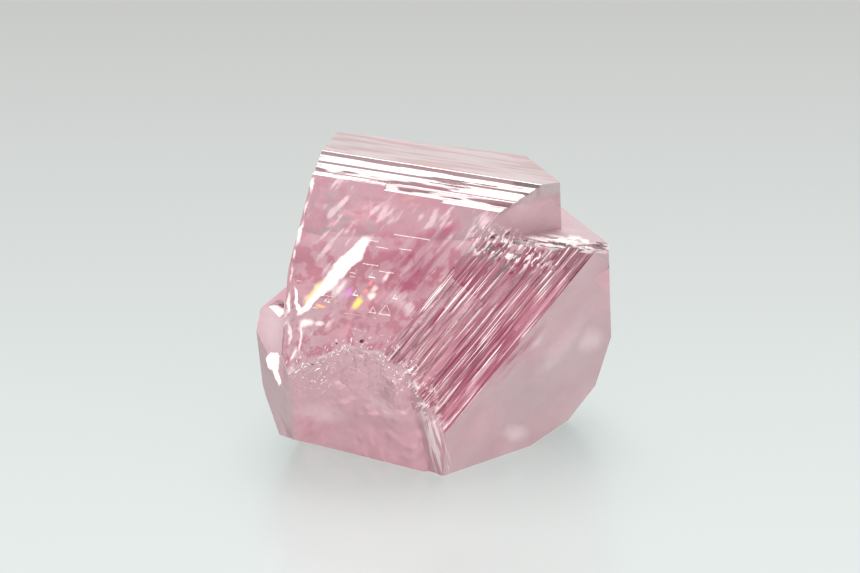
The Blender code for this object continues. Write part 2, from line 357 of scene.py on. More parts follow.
@dataclass
class StoneBody:
    """The stone's finished mesh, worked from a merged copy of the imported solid.

    Pits and grooves are given as right, up and radius or length, facets as right, up, depth, size and lean.
    """

    axes: CrystalAxes
    seed: int = 7
    weld: float = 0.002
    far_out: float = 20.0
    flat_angle: float = math.radians(0.4)
    same_way: float = 0.999
    nearly_same_way: float = 0.99
    skin: float = 0.004
    diagonal_lines: int = 110
    diagonal_start: float = 0.85
    top_lines: int = 14
    top_reach: float = 1.0
    line_depth: float = 0.045
    line_closeness: float = 12.0
    line_change: float = 0.10
    line_pieces: int = 8
    shortest_crest: float = 0.4
    pit_slope: float = math.radians(35.0)
    pit_depth: float = 0.03
    pit_walls: tuple = (0.0015, 0.06)
    pits: tuple = (
        (-2.36, 6.68, 0.15), (-2.90, 6.08, 0.15), (-3.84, 5.86, 0.15), (-2.33, 5.52, 0.17), (-1.92, 5.50, 0.27),
        (-1.60, 5.96, 0.12),
    )
    grooves: tuple = (
        (-1.03, 7.96, 1.22), (-2.32, 7.84, 0.40), (-2.02, 7.61, 0.42), (-1.25, 7.55, 0.42), (-2.41, 7.05, 0.54),
        (-3.00, 6.78, 0.20), (-3.00, 6.65, 0.18), (-1.88, 6.80, 0.50), (-2.75, 5.35, 1.08), (-2.75, 4.88, 0.40),
        (-4.78, 6.51, 0.18), (-3.84, 6.00, 0.40), (-4.28, 5.62, 0.24),
    )
    groove_half: float = 0.02
    break_grain: float = 0.07
    break_reach: float = 1.4
    break_top: float = 6.3
    break_face: float = 0.6
    break_sizes: tuple = (0.30, 0.16, 0.08)
    break_closeness: float = 4.0
    scallop_middle: tuple = (-4.6, 4.4, 1.2)
    scallop_ring: float = 1.1
    scallop_width: float = 0.35
    scallop_closeness: float = 26.0
    top_crest: float = 0.07
    diagonal_crest: float = 0.03
    large_face: float = 1.0
    back_spacing: float = 0.40
    side_spacing: float = 0.75
    back_closeness: float = 1.1
    side_closeness: float = 0.6
    relief: float = 0.08
    foot_rest: float = 0.04
    sharp_angle: float = math.radians(38.0)
    half_way_up: tuple = (0.654, 0.759)
    facets: tuple = ((-5.55, 5.55, 0.05, 0.50, -0.15),)
    left_edge: tuple = (
        (-4.15, 10.5), (-4.62, 8.87), (-4.98, 7.4), (-5.10, 6.7), (-5.16, 5.5), (-5.12, 4.2), (-5.0, 3.5),
    )
    edge_chips: int = 7
    edge_chip_sizes: tuple = (0.10, 0.26)
    notch_chips: int = 276
    notch_chip_sizes: tuple = (0.16, 0.36)
    notch_floor: tuple = (1.6, 8.0)
    notch_fall: float = 0.28
    notch_fade: float = 0.45
    chip_area: tuple = ((1.3, 4.1), (6.7, 8.05))
    chip_gap: float = 0.38
    chip_sink: float = 0.30

    def build(self, source: bpy.types.Object) -> bpy.types.Object:
        """Makes the finished stone.

        Args:
            source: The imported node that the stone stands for.

        Returns:
            The finished object, at the origin, in metres.
        """
        mesh = self._copy(source)
        anchor = lowest_front_corner([v.co for v in mesh.verts], self.weld / 2)
        bmesh.ops.translate(mesh, verts=mesh.verts, vec=-anchor)
        chance = random.Random(self.seed)
        mesh = self._carve(mesh, self._pit_cutter())
        mesh = self._carve(mesh, self._groove_cutter())
        mesh = self._carve(mesh, self._facet_cutter(mesh))
        mesh = self._carve(mesh, self._chip_cutter(mesh, chance))
        self._drop_scraps(mesh)
        for name in ("etched", "lined", "soft"):
            mesh.faces.layers.float.new(name)
        self._soften_crests(mesh, FaceName.TOP, self.top_crest)
        self._soften_crests(mesh, FaceName.RIGHT, self.diagonal_crest)
        self._draw_lines(mesh, FaceName.RIGHT, self.diagonal_lines, chance)
        self._draw_lines(mesh, FaceName.TOP, self.top_lines, chance)
        self._grain_break(mesh)
        self._frost_pits(mesh)
        self._roughen_sides(mesh, chance)
        for edge in mesh.edges:
            even = len(edge.link_faces) == 2 and all(f.smooth for f in edge.link_faces)
            edge.smooth = even and edge.calc_face_angle(0.0) < self.sharp_angle
        bmesh.ops.translate(mesh, verts=mesh.verts, vec=anchor)
        bmesh.ops.scale(mesh, verts=mesh.verts, vec=(MM, MM, MM))
        bmesh.ops.recalc_face_normals(mesh, faces=mesh.faces)
        return as_object(mesh, "rough_pink_diamond")

    def _copy(self, source: bpy.types.Object) -> bmesh.types.BMesh:
        """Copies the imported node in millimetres, with its triangles joined into whole flat faces.

        Args:
            source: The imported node.

        Returns:
            The copy.
        """
        mesh = bmesh.new()
        mesh.from_mesh(source.data)
        bmesh.ops.scale(mesh, verts=mesh.verts, vec=(1 / MM,) * 3)
        bmesh.ops.remove_doubles(mesh, verts=mesh.verts, dist=self.weld / 4)
        bmesh.ops.dissolve_limit(mesh, angle_limit=self.flat_angle, verts=mesh.verts, edges=mesh.edges)
        return mesh

    def _band_faces(self, mesh: bmesh.types.BMesh, side: FaceName) -> list[bmesh.types.BMFace]:
        """Finds the ledges between the front face and one of its neighbours.

        Args:
            mesh: The stone.
            side: The neighbour.

        Returns:
            The treads and risers of that band.
        """
        front = self.axes.front
        other = self.axes.normal(side)
        mean = self.axes.band(side)[2]
        front_at = self.axes.front_at
        if side is FaceName.RIGHT:
            other_at = self.axes.right_at
            lowest = self.diagonal_start
        else:
            other_at = self.axes.top_at
            lowest = (front_at + other_at - self.top_reach) / (front + other).length
        found = []
        for face in mesh.faces:
            facing = max(face.normal.dot(front), face.normal.dot(other), face.normal.dot(mean))
            middle = face.calc_center_median()
            depth = min(front_at - front.dot(middle), other_at - other.dot(middle))
            if facing > self.same_way and depth > self.skin and mean.dot(middle) > lowest:
                found.append(face)
        return found

    def _draw_lines(self, mesh: bmesh.types.BMesh, side: FaceName, count: int, chance: random.Random) -> None:
        """Draws fine growth lines along a band, each a little higher or lower than the next.

        Args:
            mesh: The stone, changed in place.
            side: The neighbour of the front face that the band leads to.
            count: How many lines.
            chance: Where the random values come from.
        """
        along, across, mean = self.axes.band(side)
        faces = self._band_faces(mesh, side)
        if not faces:
            log.warning("no band toward the %s face", side.value)
            return
        reaches = [across.dot(v.co) for f in faces for v in f.verts]
        lengths = [along.dot(v.co) for f in faces for v in f.verts]
        cuts = [(across, min(reaches) + (max(reaches) - min(reaches)) * chance.random()) for _ in range(count)]
        step = (max(lengths) - min(lengths)) / self.line_pieces
        cuts += [(along, min(lengths) + step * (k + chance.uniform(0.2, 0.8))) for k in range(self.line_pieces)]
        for normal, place in cuts:
            self._score(mesh, self._band_faces(mesh, side), normal, place)
        faces = set(self._band_faces(mesh, side))
        for vert in {v for f in faces for v in f.verts}:
            if all(f in faces for f in vert.link_faces):
                place = Vector(
                    (across.dot(vert.co) * self.line_closeness, along.dot(vert.co) * self.line_change, 3.0)
                )
                vert.co += mean * self.line_depth * (noise.noise(place) * 1.4 - 0.2)
        lined = mesh.faces.layers.float["lined"]
        for face in faces:
            face[lined] = 1.0 if side is FaceName.RIGHT else 0.5
        log.info("%d faces in the band toward the %s face", len(faces), side.value)

    def _soften_crests(self, mesh: bmesh.types.BMesh, side: FaceName, width: float) -> None:
        """Bevels the crests of a band's ledges, as growth leaves them rounded.

        Args:
            mesh: The stone, changed in place.
            side: The neighbour of the front face that the band leads to.
            width: How far each bevel reaches into its two faces.
        """
        pair = (self.axes.front, self.axes.normal(side))
        crests = []
        for edge in mesh.edges:
            if len(edge.link_faces) != 2 or not edge.is_convex or edge.calc_length() < self.shortest_crest:
                continue
            if min(max(f.normal.dot(way) for f in edge.link_faces) for way in pair) > self.same_way:
                crests.append(edge)
        bmesh.ops.bevel(
            mesh,
            geom=crests,
            offset=width,
            offset_type="OFFSET",
            segments=1,
            profile=0.5,
            affect="EDGES",
            clamp_overlap=True,
            material=-1,
        )
        log.info("%d crests toward the %s face", len(crests), side.value)

    def _frost_pits(self, mesh: bmesh.types.BMesh) -> None:
        """Frosts the walls of the front face's pits and growth lines.

        Args:
            mesh: The stone, changed in place.
        """
        etched = mesh.faces.layers.float["etched"]
        lined = mesh.faces.layers.float["lined"]
        shallow, deep = self.pit_walls
        for face in mesh.faces:
            depth = self.axes.front_at - self.axes.front.dot(face.calc_center_median())
            sloping = face.normal.dot(self.axes.front) < self.nearly_same_way
            if shallow < depth < deep and face[lined] == 0.0 and sloping:
                face[etched] = 2.0

    def _roughen_sides(self, mesh: bmesh.types.BMesh, chance: random.Random) -> None:
        """Gives the large flat faces other than the front one a low relief of growth hillocks.

        Args:
            mesh: The stone, changed in place.
            chance: Where the random values come from.
        """
        sides = []
        for face in mesh.faces:
            if face.calc_area() > self.large_face and face.normal.dot(self.axes.front) < self.nearly_same_way:
                sides.append((face.normal.copy(), face.calc_center_median(), face.normal.dot(TOWARD) < 0.02))
        soft = mesh.faces.layers.float["soft"]
        for normal, middle, hidden in sides:
            spacing = self.back_spacing if hidden else self.side_spacing
            closeness = self.back_closeness if hidden else self.side_closeness
            flat = self._flat_faces(mesh, normal, middle)
            first = normal.orthogonal().normalized()
            for turn in (0.0, 60.0, 120.0):
                across = Matrix.Rotation(math.radians(turn), 3, normal) @ first
                reaches = [across.dot(v.co) for f in flat for v in f.verts]
                if not reaches:
                    break
                place = min(reaches) + spacing * chance.uniform(0.3, 1.0)
                while place < max(reaches):
                    self._score(mesh, self._flat_faces(mesh, normal, middle), across, place)
                    place += spacing * chance.uniform(0.6, 1.5)
            flat = set(self._flat_faces(mesh, normal, middle))
            inner = [v for v in {v for f in flat for v in f.verts} if all(f in flat for f in v.link_faces)]
            for face in flat:
                face.smooth = hidden
                face[soft] = 0.2 if hidden else 1.0
            bmesh.ops.triangulate(mesh, faces=[f for f in flat if len(f.verts) > 3])
            for vert in inner:
                swell = abs(noise.fractal(vert.co * closeness, 1.0, 2.0, 3))
                if normal.z < -0.98:
                    swell = max(0.0, swell - self.foot_rest)
                vert.co -= normal * self.relief * swell * 1.4
            log.info("relief on a face of %d pieces", len(flat))

    def _score(self, mesh: bmesh.types.BMesh, faces: list[bmesh.types.BMFace], across: Vector, place: float) -> None:
        """Scores some faces along a plane.

        Args:
            mesh: The stone, changed in place.
            faces: The faces that are parted.
            across: The plane's normal.
            place: The plane's distance.
        """
        edges = {e for f in faces for e in f.edges}
        verts = {v for f in faces for v in f.verts}
        geom = list(verts) + list(edges) + faces
        bmesh.ops.bisect_plane(mesh, geom=geom, dist=self.weld / 20, plane_co=across * place, plane_no=across)

    def _flat_faces(self, mesh: bmesh.types.BMesh, normal: Vector, middle: Vector) -> list[bmesh.types.BMFace]:
        """Finds the faces that lie in one plane.

        Args:
            mesh: The stone.
            normal: The plane's normal.
            middle: A point of the plane.

        Returns:
            The faces.
        """
        found = []
        for face in mesh.faces:
            if face.normal.dot(normal) > 0.99999 and abs((face.calc_center_median() - middle).dot(normal)) < 0.003:
                found.append(face)
        return found

    def _grain_break(self, mesh: bmesh.types.BMesh) -> None:
        """Gives the broken corner a finer grain: its small faces are split and moved in and out.

        Args:
            mesh: The stone, changed in place.
        """
        known = [self.axes.normal(name) for name in FaceName]
        etched = mesh.faces.layers.float["etched"]
        soft = mesh.faces.layers.float["soft"]
        for face in mesh.faces:
            low = face.calc_center_median().dot(UPWARD) < self.break_top
            away = all(abs(face.normal.dot(n)) < 0.998 for n in known)
            if face.calc_area() < self.break_face and away and face.normal.dot(TOWARD) > 0.05 and low:
                face[etched] = 1.0
        for level, longest in enumerate(self.break_sizes):
            broken = {f for f in mesh.faces if f[etched] > 0.0}
            inner = set()
            for face in broken:
                if level < 2 or self._break_edge(face.calc_center_median()) > 0.2:
                    inner |= {e for e in face.edges if e.calc_length() > longest}
            inner = {e for e in inner if all(g in broken for g in e.link_faces)}
            bmesh.ops.subdivide_edges(mesh, edges=list(inner), cuts=1, use_grid_fill=True)
            bmesh.ops.triangulate(mesh, faces=[f for f in mesh.faces if f[etched] > 0.0 and len(f.verts) > 3])
            broken = {f for f in mesh.faces if f[etched] > 0.0}
            places = {v for f in broken for v in f.verts}
            places = {v for v in places if all(f in broken for f in v.link_faces)}
            for vert in places:
                share = self._break_edge(vert.co)
                grain = noise.fractal(vert.co * self.break_closeness * (1 + level), 0.8, 2.2, 3)
                ring = (vert.co - seen(*self.scallop_middle)).length
                fade = math.exp(-((ring - self.scallop_ring) / self.scallop_width) ** 2)
                arc = 0.4 * math.sin(ring * self.scallop_closeness) * fade
                vert.co += TOWARD * self.break_grain * ((0.15 + share) * grain + arc) / (1 + level)
        for face in broken:
            share = self._break_edge(face.calc_center_median())
            face[etched] = max(share, 0.1)
            face[soft] = 1.0 - share
            face.smooth = share < 0.35
        log.info("%d faces in the break", len(broken))

    def _break_edge(self, place: Vector) -> float:
        """Tells how near the break's upper rim a place is, from 1 at the rim to 0 well below it."""
        depth = self.axes.front_at - self.axes.front.dot(place)
        return math.exp(-max(depth, 0.0) / self.break_reach)

    def _carve(self, mesh: bmesh.types.BMesh, cutter: Cutter) -> bmesh.types.BMesh:
        """Cuts a set of small shapes out of the stone.

        Args:
            mesh: The stone, which is freed.
            cutter: The shapes.

        Returns:
            The stone without them.
        """
        stone = as_object(mesh, "stone_before_cut")
        tool = as_object(cutter.mesh, "stone_cutter")
        cut = stone.modifiers.new("cut", "BOOLEAN")
        cut.operation = "DIFFERENCE"
        cut.solver = "EXACT"
        cut.object = tool
        graph = bpy.context.evaluated_depsgraph_get()
        result = bpy.data.meshes.new_from_object(stone.evaluated_get(graph))
        fresh = bmesh.new()
        fresh.from_mesh(result)
        bmesh.ops.remove_doubles(fresh, verts=fresh.verts, dist=self.weld / 2)
        bmesh.ops.dissolve_degenerate(fresh, edges=fresh.edges, dist=self.weld / 2)
        for item in (stone, tool):
            data = item.data
            bpy.data.objects.remove(item)
            bpy.data.meshes.remove(data)
        bpy.data.meshes.remove(result)
        return fresh

    def _drop_scraps(self, mesh: bmesh.types.BMesh) -> None:
        """Takes away the slivers and loose edges that the cuts have parted from the stone.

        Args:
            mesh: The stone, changed in place.
        """
        parts = []
        left = set(mesh.faces)
        while left:
            part = set()
            reached = {left.pop()}
            while reached:
                part |= reached
                reached = {g for f in reached for e in f.edges for g in e.link_faces} - part
            left -= part
            parts.append(part)
        parts.sort(key=len)
        scraps = [f for part in parts[:-1] for f in part]
        bmesh.ops.delete(mesh, geom=scraps, context="FACES")
        wires = [e for e in mesh.edges if not e.link_faces]
        bmesh.ops.delete(mesh, geom=wires, context="EDGES")
        log.info("%d faces and %d edges of scrap", len(scraps), len(wires))

    def _chip_cutter(self, mesh: bmesh.types.BMesh, chance: random.Random) -> Cutter:
        """Makes the small corner-shaped chips beside the notch and along the left edge.

        Args:
            mesh: The stone that they are cut into.
            chance: Where the random values come from.

        Returns:
            The chips, clear of one another.
        """
        cutter = Cutter()
        tree = BVHTree.FromBMesh(mesh)
        spots = []
        for _ in range(self.notch_chips):
            right = chance.uniform(*self.chip_area[0])
            up = chance.uniform(*self.chip_area[1])
            off_floor = abs((up - self.notch_floor[1]) + self.notch_fall * (right - self.notch_floor[0]))
            if chance.random() < math.exp(-off_floor / self.notch_fade):
                spots.append((right, up, chance.uniform(*self.notch_chip_sizes)))
        for start, end in zip(self.left_edge, self.left_edge[1:]):
            for _ in range(self.edge_chips):
                share = chance.random()
                right = start[0] + (end[0] - start[0]) * share + chance.uniform(0.0, 0.12)
                up = start[1] + (end[1] - start[1]) * share
                spots.append((right, up, chance.uniform(*self.edge_chip_sizes)))
        placed: list[Vector] = []
        for right, up, size in spots:
            hit = tree.ray_cast(seen(right, up, self.far_out), -TOWARD)[0]
            if hit is None or any((hit - other).length < self.chip_gap for other in placed):
                continue
            placed.append(hit)
            inside = hit - TOWARD * size * self.chip_sink
            planes = [(inside, -self.axes.normal(name)) for name in (FaceName.FRONT, FaceName.RIGHT, FaceName.TOP)]
            cutter.add(hit, size, planes)
        log.info("%d chips", len(placed))
        return cutter

    def _facet_cutter(self, mesh: bmesh.types.BMesh) -> Cutter:
        """Makes small flat facets on corners, which lean so that they catch the light from above.

        Args:
            mesh: The stone that they are cut into.

        Returns:
            The facets' cutters.
        """
        cutter = Cutter()
        tree = BVHTree.FromBMesh(mesh)
        for right, up, depth, size, lean in self.facets:
            hit = tree.ray_cast(seen(right, up, self.far_out), -TOWARD)[0]
            if hit is not None:
                bright = seen(lean, *self.half_way_up).normalized()
                cutter.add(hit, size, [(hit - bright * depth, -bright)])
        return cutter

    def _front_directions(self) -> tuple[Vector, Vector, Vector]:
        """Gives the directions of the front face.

        Returns:
            Its normal, and its directions along and up from the top edge's line.
        """
        normal = self.axes.front
        flat = self.axes.edge(FaceName.FRONT, FaceName.TOP)
        return normal, flat, normal.cross(flat) * (1 if normal.cross(flat).z > 0 else -1)

    def _pit_cutter(self) -> Cutter:
        """Makes the triangular pits of the front face, each with a corner up.

        Returns:
            The pits' cutters.
        """
        cutter = Cutter()
        normal, flat, upward = self._front_directions()
        for right, up, radius in self.pits:
            middle = self.axes.on_front(right, up)
            planes = [(middle - normal * self.pit_depth, -normal), (middle + normal * 0.05, normal)]
            for turn in (-90.0, 30.0, 150.0):
                angle = math.radians(turn)
                away = flat * math.cos(angle) + upward * math.sin(angle)
                wall = away * math.sin(self.pit_slope) - normal * math.cos(self.pit_slope)
                planes.append((middle + away * radius / 2, wall.normalized()))
            cutter.add(middle, radius * 6, planes)
        return cutter

    def _groove_cutter(self) -> Cutter:
        """Makes the short growth lines of the front face as shallow grooves.

        Returns:
            The grooves' cutters.
        """
        cutter = Cutter()
        normal, flat, upward = self._front_directions()
        for right, up, length in self.grooves:
            middle = self.axes.on_front(right, up)
            lower = -upward * math.sin(self.pit_slope) - normal * math.cos(self.pit_slope)
            upper = upward * math.cos(self.pit_slope) - normal * math.sin(self.pit_slope)
            planes = [
                (middle + normal * self.groove_half * 2, normal),
                (middle - upward * self.groove_half, lower),
                (middle + upward * self.groove_half, upper),
                (middle + flat * length / 2, flat),
                (middle - flat * length / 2, -flat),
            ]
            cutter.add(middle, length * 2, planes)
        return cutter


@dataclass
class Zones:
    """Where each point of the stone lies, as wires that the layers of its finish share."""

    place: Wire
    plane: Wire
    ragged: Wire
    on_face: Wire
    facing: Wire
    etched: Wire
    diagonal: Wire
    crown: Wire
    side: Wire


class Coat:
    """A colour, a painted glow of glints, cloudiness and roughness that are built up layer by layer."""

    def __init__(self, sheet: NodeSheet, zones: Zones, colour: tuple) -> None:
        """Starts with an even coat, slightly frosted where the stone is etched.

        Args:
            sheet: The material's nodes.
            zones: Where each point lies.
            colour: The first colour.
        """
        self.sheet = sheet
        self.zones = zones
        self.colour: "Wire | tuple" = colour
        self.glow: "Wire | tuple" = (0.0, 0.0, 0.0)
        self.cloud = zones.etched * 0.18
        self.roughness = zones.etched * 0.08 + 0.015

    def lay(
        self,
        mask: Wire,
        tint: tuple,
        share: float = 1.0,
        cloudy: float = 0.0,
        rough: float = 0.0,
        glow: tuple | None = None,
    ) -> None:
        """Lays one more layer.

        Args:
            mask: Where it shows.
            tint: Its colour.
            share: How much of it shows there.
            cloudy: How cloudy it makes the crystal.
            rough: How rough it makes the surface.
            glow: The light that it gives off as a painted glint.
        """
        if share < 1.0:
            mask = mask * share
        self.colour = self.sheet.blend(mask, self.colour, tint)
        if cloudy:
            self.cloud = self.cloud + mask * cloudy
        if rough:
            self.roughness = self.roughness + mask * rough
        if glow:
            self.glow = self.sheet.blend(mask, self.glow, glow)


@dataclass(frozen=True)
class PinkCrystalFinish:
    """Clear pink crystal, cloudy inside, glossy on its faces and frosted where it is etched, with painted glare,
    glints, highlights and coloured sparks laid in its colour and glow.
    """

    axes: CrystalAxes
    anchor: tuple
    index: float = 2.417
    slant: float = math.radians(50.0)
    raggedness: float = 0.26
    absorption_colour: tuple = (0.94, 0.34, 0.50)
    absorption_density: float = 80.0
    pale: tuple = (0.97, 0.90, 0.92)
    rose: tuple = (0.92, 0.62, 0.70)
    blush: tuple = (0.70, 0.31, 0.37)
    dusty: tuple = (0.50, 0.13, 0.19)
    side_tint: tuple = (0.86, 0.50, 0.58)
    side_pale: tuple = (1.0, 0.74, 0.79)
    petal: tuple = (0.93, 0.60, 0.70)
    plum: tuple = (0.38, 0.025, 0.09)
    magenta: tuple = (0.30, 0.012, 0.08)
    wine: tuple = (0.25, 0.02, 0.07)
    brown_pink: tuple = (0.60, 0.34, 0.33)
    bone: tuple = (0.62, 0.64, 0.61)
    frost: tuple = (1.0, 0.93, 0.92)
    white: tuple = (1.0, 1.0, 1.0)
    speck_colour: tuple = (0.03, 0.005, 0.02)
    # Glow colours of the painted glare and highlights, and of the painted glints.
    glare_colour: tuple = (0.85, 0.83, 0.78)
    glint_colour: tuple = (0.26, 0.24, 0.22)
    deep_patches: tuple = (
        (-0.1, 7.9, 0.75, 0.45, 40.0, 0.8, 0.8),
        (0.3, 5.8, 1.5, 0.55, 49.0, 0.8, 1.0),
        (1.3, 4.2, 1.5, 0.75, 49.0, 0.8, 1.0),
        (2.6, 4.0, 1.2, 0.28, 49.0, 0.8, 0.9),
        (-0.9, 7.0, 1.3, 0.8, 49.0, 0.9, 0.95),
        (-1.8, 7.6, 2.0, 0.9, 0.0, 0.9, 0.35),
        (2.9, 7.2, 1.2, 0.4, 49.0, 0.9, 0.45),
        (-4.2, 1.6, 0.7, 0.45, -20.0, 0.9, 0.6),
    )
    glare_patches: tuple = (
        (-3.25, 7.05, 1.15, 0.24, 48.0, 0.25, 1.0),
        (-3.95, 6.30, 1.05, 0.13, 48.0, 0.25, 1.0),
        (-4.55, 5.62, 0.35, 0.10, 40.0, 0.3, 0.9),
        (-4.83, 5.85, 0.40, 0.05, 100.0, 0.3, 0.8),
    )
    sparks: tuple = (
        ((-4.25, 6.17, 0.42, 0.11, 48.0, 0.7, 0.8), (0.86, 0.66, 0.30)),
        ((-4.03, 5.67, 0.13, 0.05, 10.0, 0.7, 0.7), (0.85, 0.42, 0.14)),
        ((-2.85, 5.77, 0.21, 0.10, 40.0, 0.6, 0.9), (0.86, 0.66, 0.03)),
        ((-3.10, 6.13, 0.18, 0.07, 45.0, 0.8, 0.6), (0.52, 0.17, 0.62)),
        ((-2.57, 6.10, 0.08, 0.05, 30.0, 0.8, 0.6), (0.80, 0.20, 0.12)),
        ((-2.40, 6.43, 0.11, 0.05, 45.0, 0.8, 0.6), (0.82, 0.18, 0.20)),
        ((-1.90, 6.62, 0.14, 0.07, 60.0, 0.8, 0.6), (0.84, 0.74, 0.66)),
        ((-2.30, 6.22, 0.15, 0.08, 55.0, 0.8, 0.5), (0.80, 0.74, 0.66)),
        ((-2.37, 5.98, 0.12, 0.08, 10.0, 0.8, 0.7), (0.90, 0.85, 0.70)),
        ((-3.37, 6.33, 0.22, 0.07, 52.0, 0.8, 0.5), (0.78, 0.70, 0.72)),
        ((-4.53, 5.13, 0.18, 0.10, 0.0, 0.8, 0.7), (0.90, 0.86, 0.78)),
        ((-4.10, 5.10, 0.13, 0.07, 0.0, 0.8, 0.6), (0.86, 0.80, 0.74)),
    )
    crumb_glint_patches: tuple = (
        (2.3, 7.55, 1.25, 0.50, -22.0, 0.5, 1.0),
        (1.45, 7.75, 0.60, 0.25, 55.0, 0.5, 0.9),
        (-0.60, 2.60, 0.90, 0.40, -60.0, 0.6, 0.6),
    )
    ripple_glint_patches: tuple = (
        (-4.45, 3.55, 0.95, 0.50, -30.0, 0.5, 1.0),
        (-2.70, 4.25, 1.50, 0.45, 0.0, 0.5, 0.9),
        (-1.20, 3.40, 1.30, 0.60, -45.0, 0.5, 1.0),
    )
    shoulder_glint_patches: tuple = ((4.15, 7.72, 1.45, 0.22, -5.0, 0.5, 1.0),)
    painted_highlight_patches: tuple = (
        (-5.66, 3.80, 0.34, 0.24, -80.0, 0.15, 1.0),
        (-5.55, 3.32, 0.36, 0.11, -70.0, 0.15, 0.9),
        (-0.03, 0.22, 0.16, 0.10, 80.0, 0.5, 0.8),
    )
    soft_highlight_patches: tuple = (
        (2.42, 1.40, 0.28, 0.20, 0.0, 0.98, 1.0),
        (4.95, 4.50, 0.34, 0.26, 30.0, 0.98, 0.9),
        (3.85, 4.20, 0.90, 0.22, 50.0, 0.9, 0.5),
        (3.10, 4.50, 0.30, 0.10, 50.0, 0.9, 0.8),
        (-5.65, 4.95, 0.30, 0.55, 0.0, 0.9, 0.8),
        (-4.10, 2.10, 0.70, 0.25, -10.0, 0.9, 0.7),
        (-2.00, 2.35, 0.65, 0.15, -35.0, 0.8, 0.9),
    )
    drip_patches: tuple = ((-0.23, 0.95, 1.00, 0.34, -77.0, 0.5, 1.0),)
    edge_glint_patches: tuple = (
        (-4.33, 9.70, 0.26, 0.05, 76.0, 0.4, 1.0),
        (-4.56, 8.93, 0.22, 0.04, 76.0, 0.4, 0.8),
        (-4.76, 8.05, 0.34, 0.07, 76.0, 0.4, 1.0),
        (-4.92, 7.40, 0.16, 0.05, 78.0, 0.4, 0.9),
        (-5.05, 6.75, 0.28, 0.04, 82.0, 0.4, 0.8),
        (-5.12, 5.80, 0.30, 0.06, 86.0, 0.4, 1.0),
        (-5.08, 4.75, 0.34, 0.05, 90.0, 0.4, 0.8),
        (-4.95, 4.10, 0.22, 0.06, 70.0, 0.4, 0.7),
        (-4.72, 4.60, 0.50, 0.04, 84.0, 0.4, 0.8),
    )
    specks: tuple = (
        (-2.70, 4.50, 0.075, 0.065, 0.0, 0.3, 1.0),
        (-2.50, 4.56, 0.025, 0.025, 0.0, 0.3, 1.0),
        (-3.53, 4.43, 0.04, 0.03, 30.0, 0.3, 1.0),
        (-4.33, 3.73, 0.045, 0.025, -20.0, 0.3, 1.0),
    )

    def build(self) -> bpy.types.Material:
        """Makes the material.

        Returns:
            The finished material.
        """
        sheet = NodeSheet("pink_crystal_finish")
        zones = self._zones(sheet)
        coat = Coat(sheet, zones, self.pale)
        fine = self._lines(coat, FaceName.RIGHT, 19.0, 0.32)
        ruled = self._lines(coat, FaceName.TOP, 7.0, 0.55)
        self._lay_body(coat)
        self._lay_diagonal(coat, fine)
        self._lay_crown(coat, ruled)
        self._lay_marks(coat)
        relief = fine * zones.diagonal + ruled * zones.crown
        bump = sheet.node("ShaderNodeBump", None, {"Strength": 0.5, "Distance": 0.00003, "Height": relief})
        sockets = {"Base Color": coat.colour, "Normal": bump, "Emission Color": coat.glow, "Emission Strength": 1.0}
        clear = {"Roughness": coat.roughness, "IOR": self.index, "Transmission Weight": 1.0}
        cloudy = {"Roughness": 0.5, "IOR": 1.5, "Transmission Weight": 0.35}
        shaders = [sheet.node("ShaderNodeBsdfPrincipled", None, sockets | own) for own in (clear, cloudy)]
        surface = sheet.node("ShaderNodeMixShader", None, {0: coat.cloud, 1: shaders[0], 2: shaders[1]})
        inside = {"Color": opaque(self.absorption_colour), "Density": self.absorption_density}
        sheet.finish(surface, sheet.node("ShaderNodeVolumeAbsorption", None, inside))
        sheet.material.cycles.emission_sampling = "NONE"
        return sheet.material

    def _zones(self, sheet: NodeSheet) -> Zones:
        """Works out where each point lies.

        Args:
            sheet: The material's nodes.

        Returns:
            The zones.
        """
        raw = sheet.node("ShaderNodeTexCoord", None, None, "Object")
        place = sheet.node(
            "ShaderNodeMapping",
            {"vector_type": "POINT"},
            {"Vector": raw, "Location": tuple(-a for a in self.anchor), "Scale": (1 / MM,) * 3},
        )
        plane = sheet.grid(place, seen(1, 0, 0), UPWARD)
        depth = self.axes.front_at - sheet.dot(place, self.axes.front)
        sockets = {"Vector": plane, "Scale": 2.0, "Detail": 2.0}
        warp = sheet.node("ShaderNodeTexNoise", {"noise_dimensions": "2D"}, sockets, "Color")
        shift = (self.raggedness, self.raggedness, 0.0)
        ragged = sheet.node("ShaderNodeVectorMath", {"operation": "MULTIPLY_ADD"}, {0: warp, 1: shift, 2: plane})
        half = tuple(value / 2 for value in shift)
        ragged = sheet.node("ShaderNodeVectorMath", {"operation": "SUBTRACT"}, {0: ragged, 1: half})
        marks = {}
        for name in ("etched", "lined", "soft"):
            marks[name] = sheet.node("ShaderNodeAttribute", {"attribute_name": name}, None, "Fac")
        diagonal = sheet.step(marks["lined"], 0.7, 0.8)
        return Zones(
            place=place,
            plane=plane,
            ragged=ragged,
            on_face=sheet.step(depth, 0.12, 0.05),
            facing=sheet.step(depth, 3.2, 2.4),
            etched=marks["etched"],
            diagonal=diagonal,
            crown=sheet.step(marks["lined"], 0.2, 0.3) - diagonal,
            side=marks["soft"],
        )

